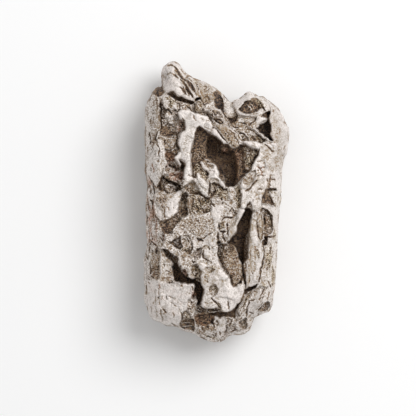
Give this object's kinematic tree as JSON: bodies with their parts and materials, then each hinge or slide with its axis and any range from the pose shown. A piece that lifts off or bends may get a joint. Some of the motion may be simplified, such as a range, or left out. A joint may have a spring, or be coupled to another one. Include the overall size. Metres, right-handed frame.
{
  "type": "iron meteorite",
  "caption": "Lump of weathered nickel iron with bright ridges, stacked crystal plates and deep rusty hollows, lying on its back.",
  "frame": {"origin": "middle of the bounding box in plan, on the plane that the lump lies on", "axes": "+Z out of the front face, which looks up; +Y along the lump towards its narrow peak; +X to the right as seen from the front"},
  "size_m": [0.0288, 0.0562, 0.0197],
  "materials": {
    "weathered_iron": "bare, softly shining cream-grey metal on the ridges and plates, olive-brown to red-brown oxide in the hollows, near black in the deep pits"
  },
  "bodies": {
    "root": {"meteorite": "weathered_iron"}
  },
  "joints": []
}
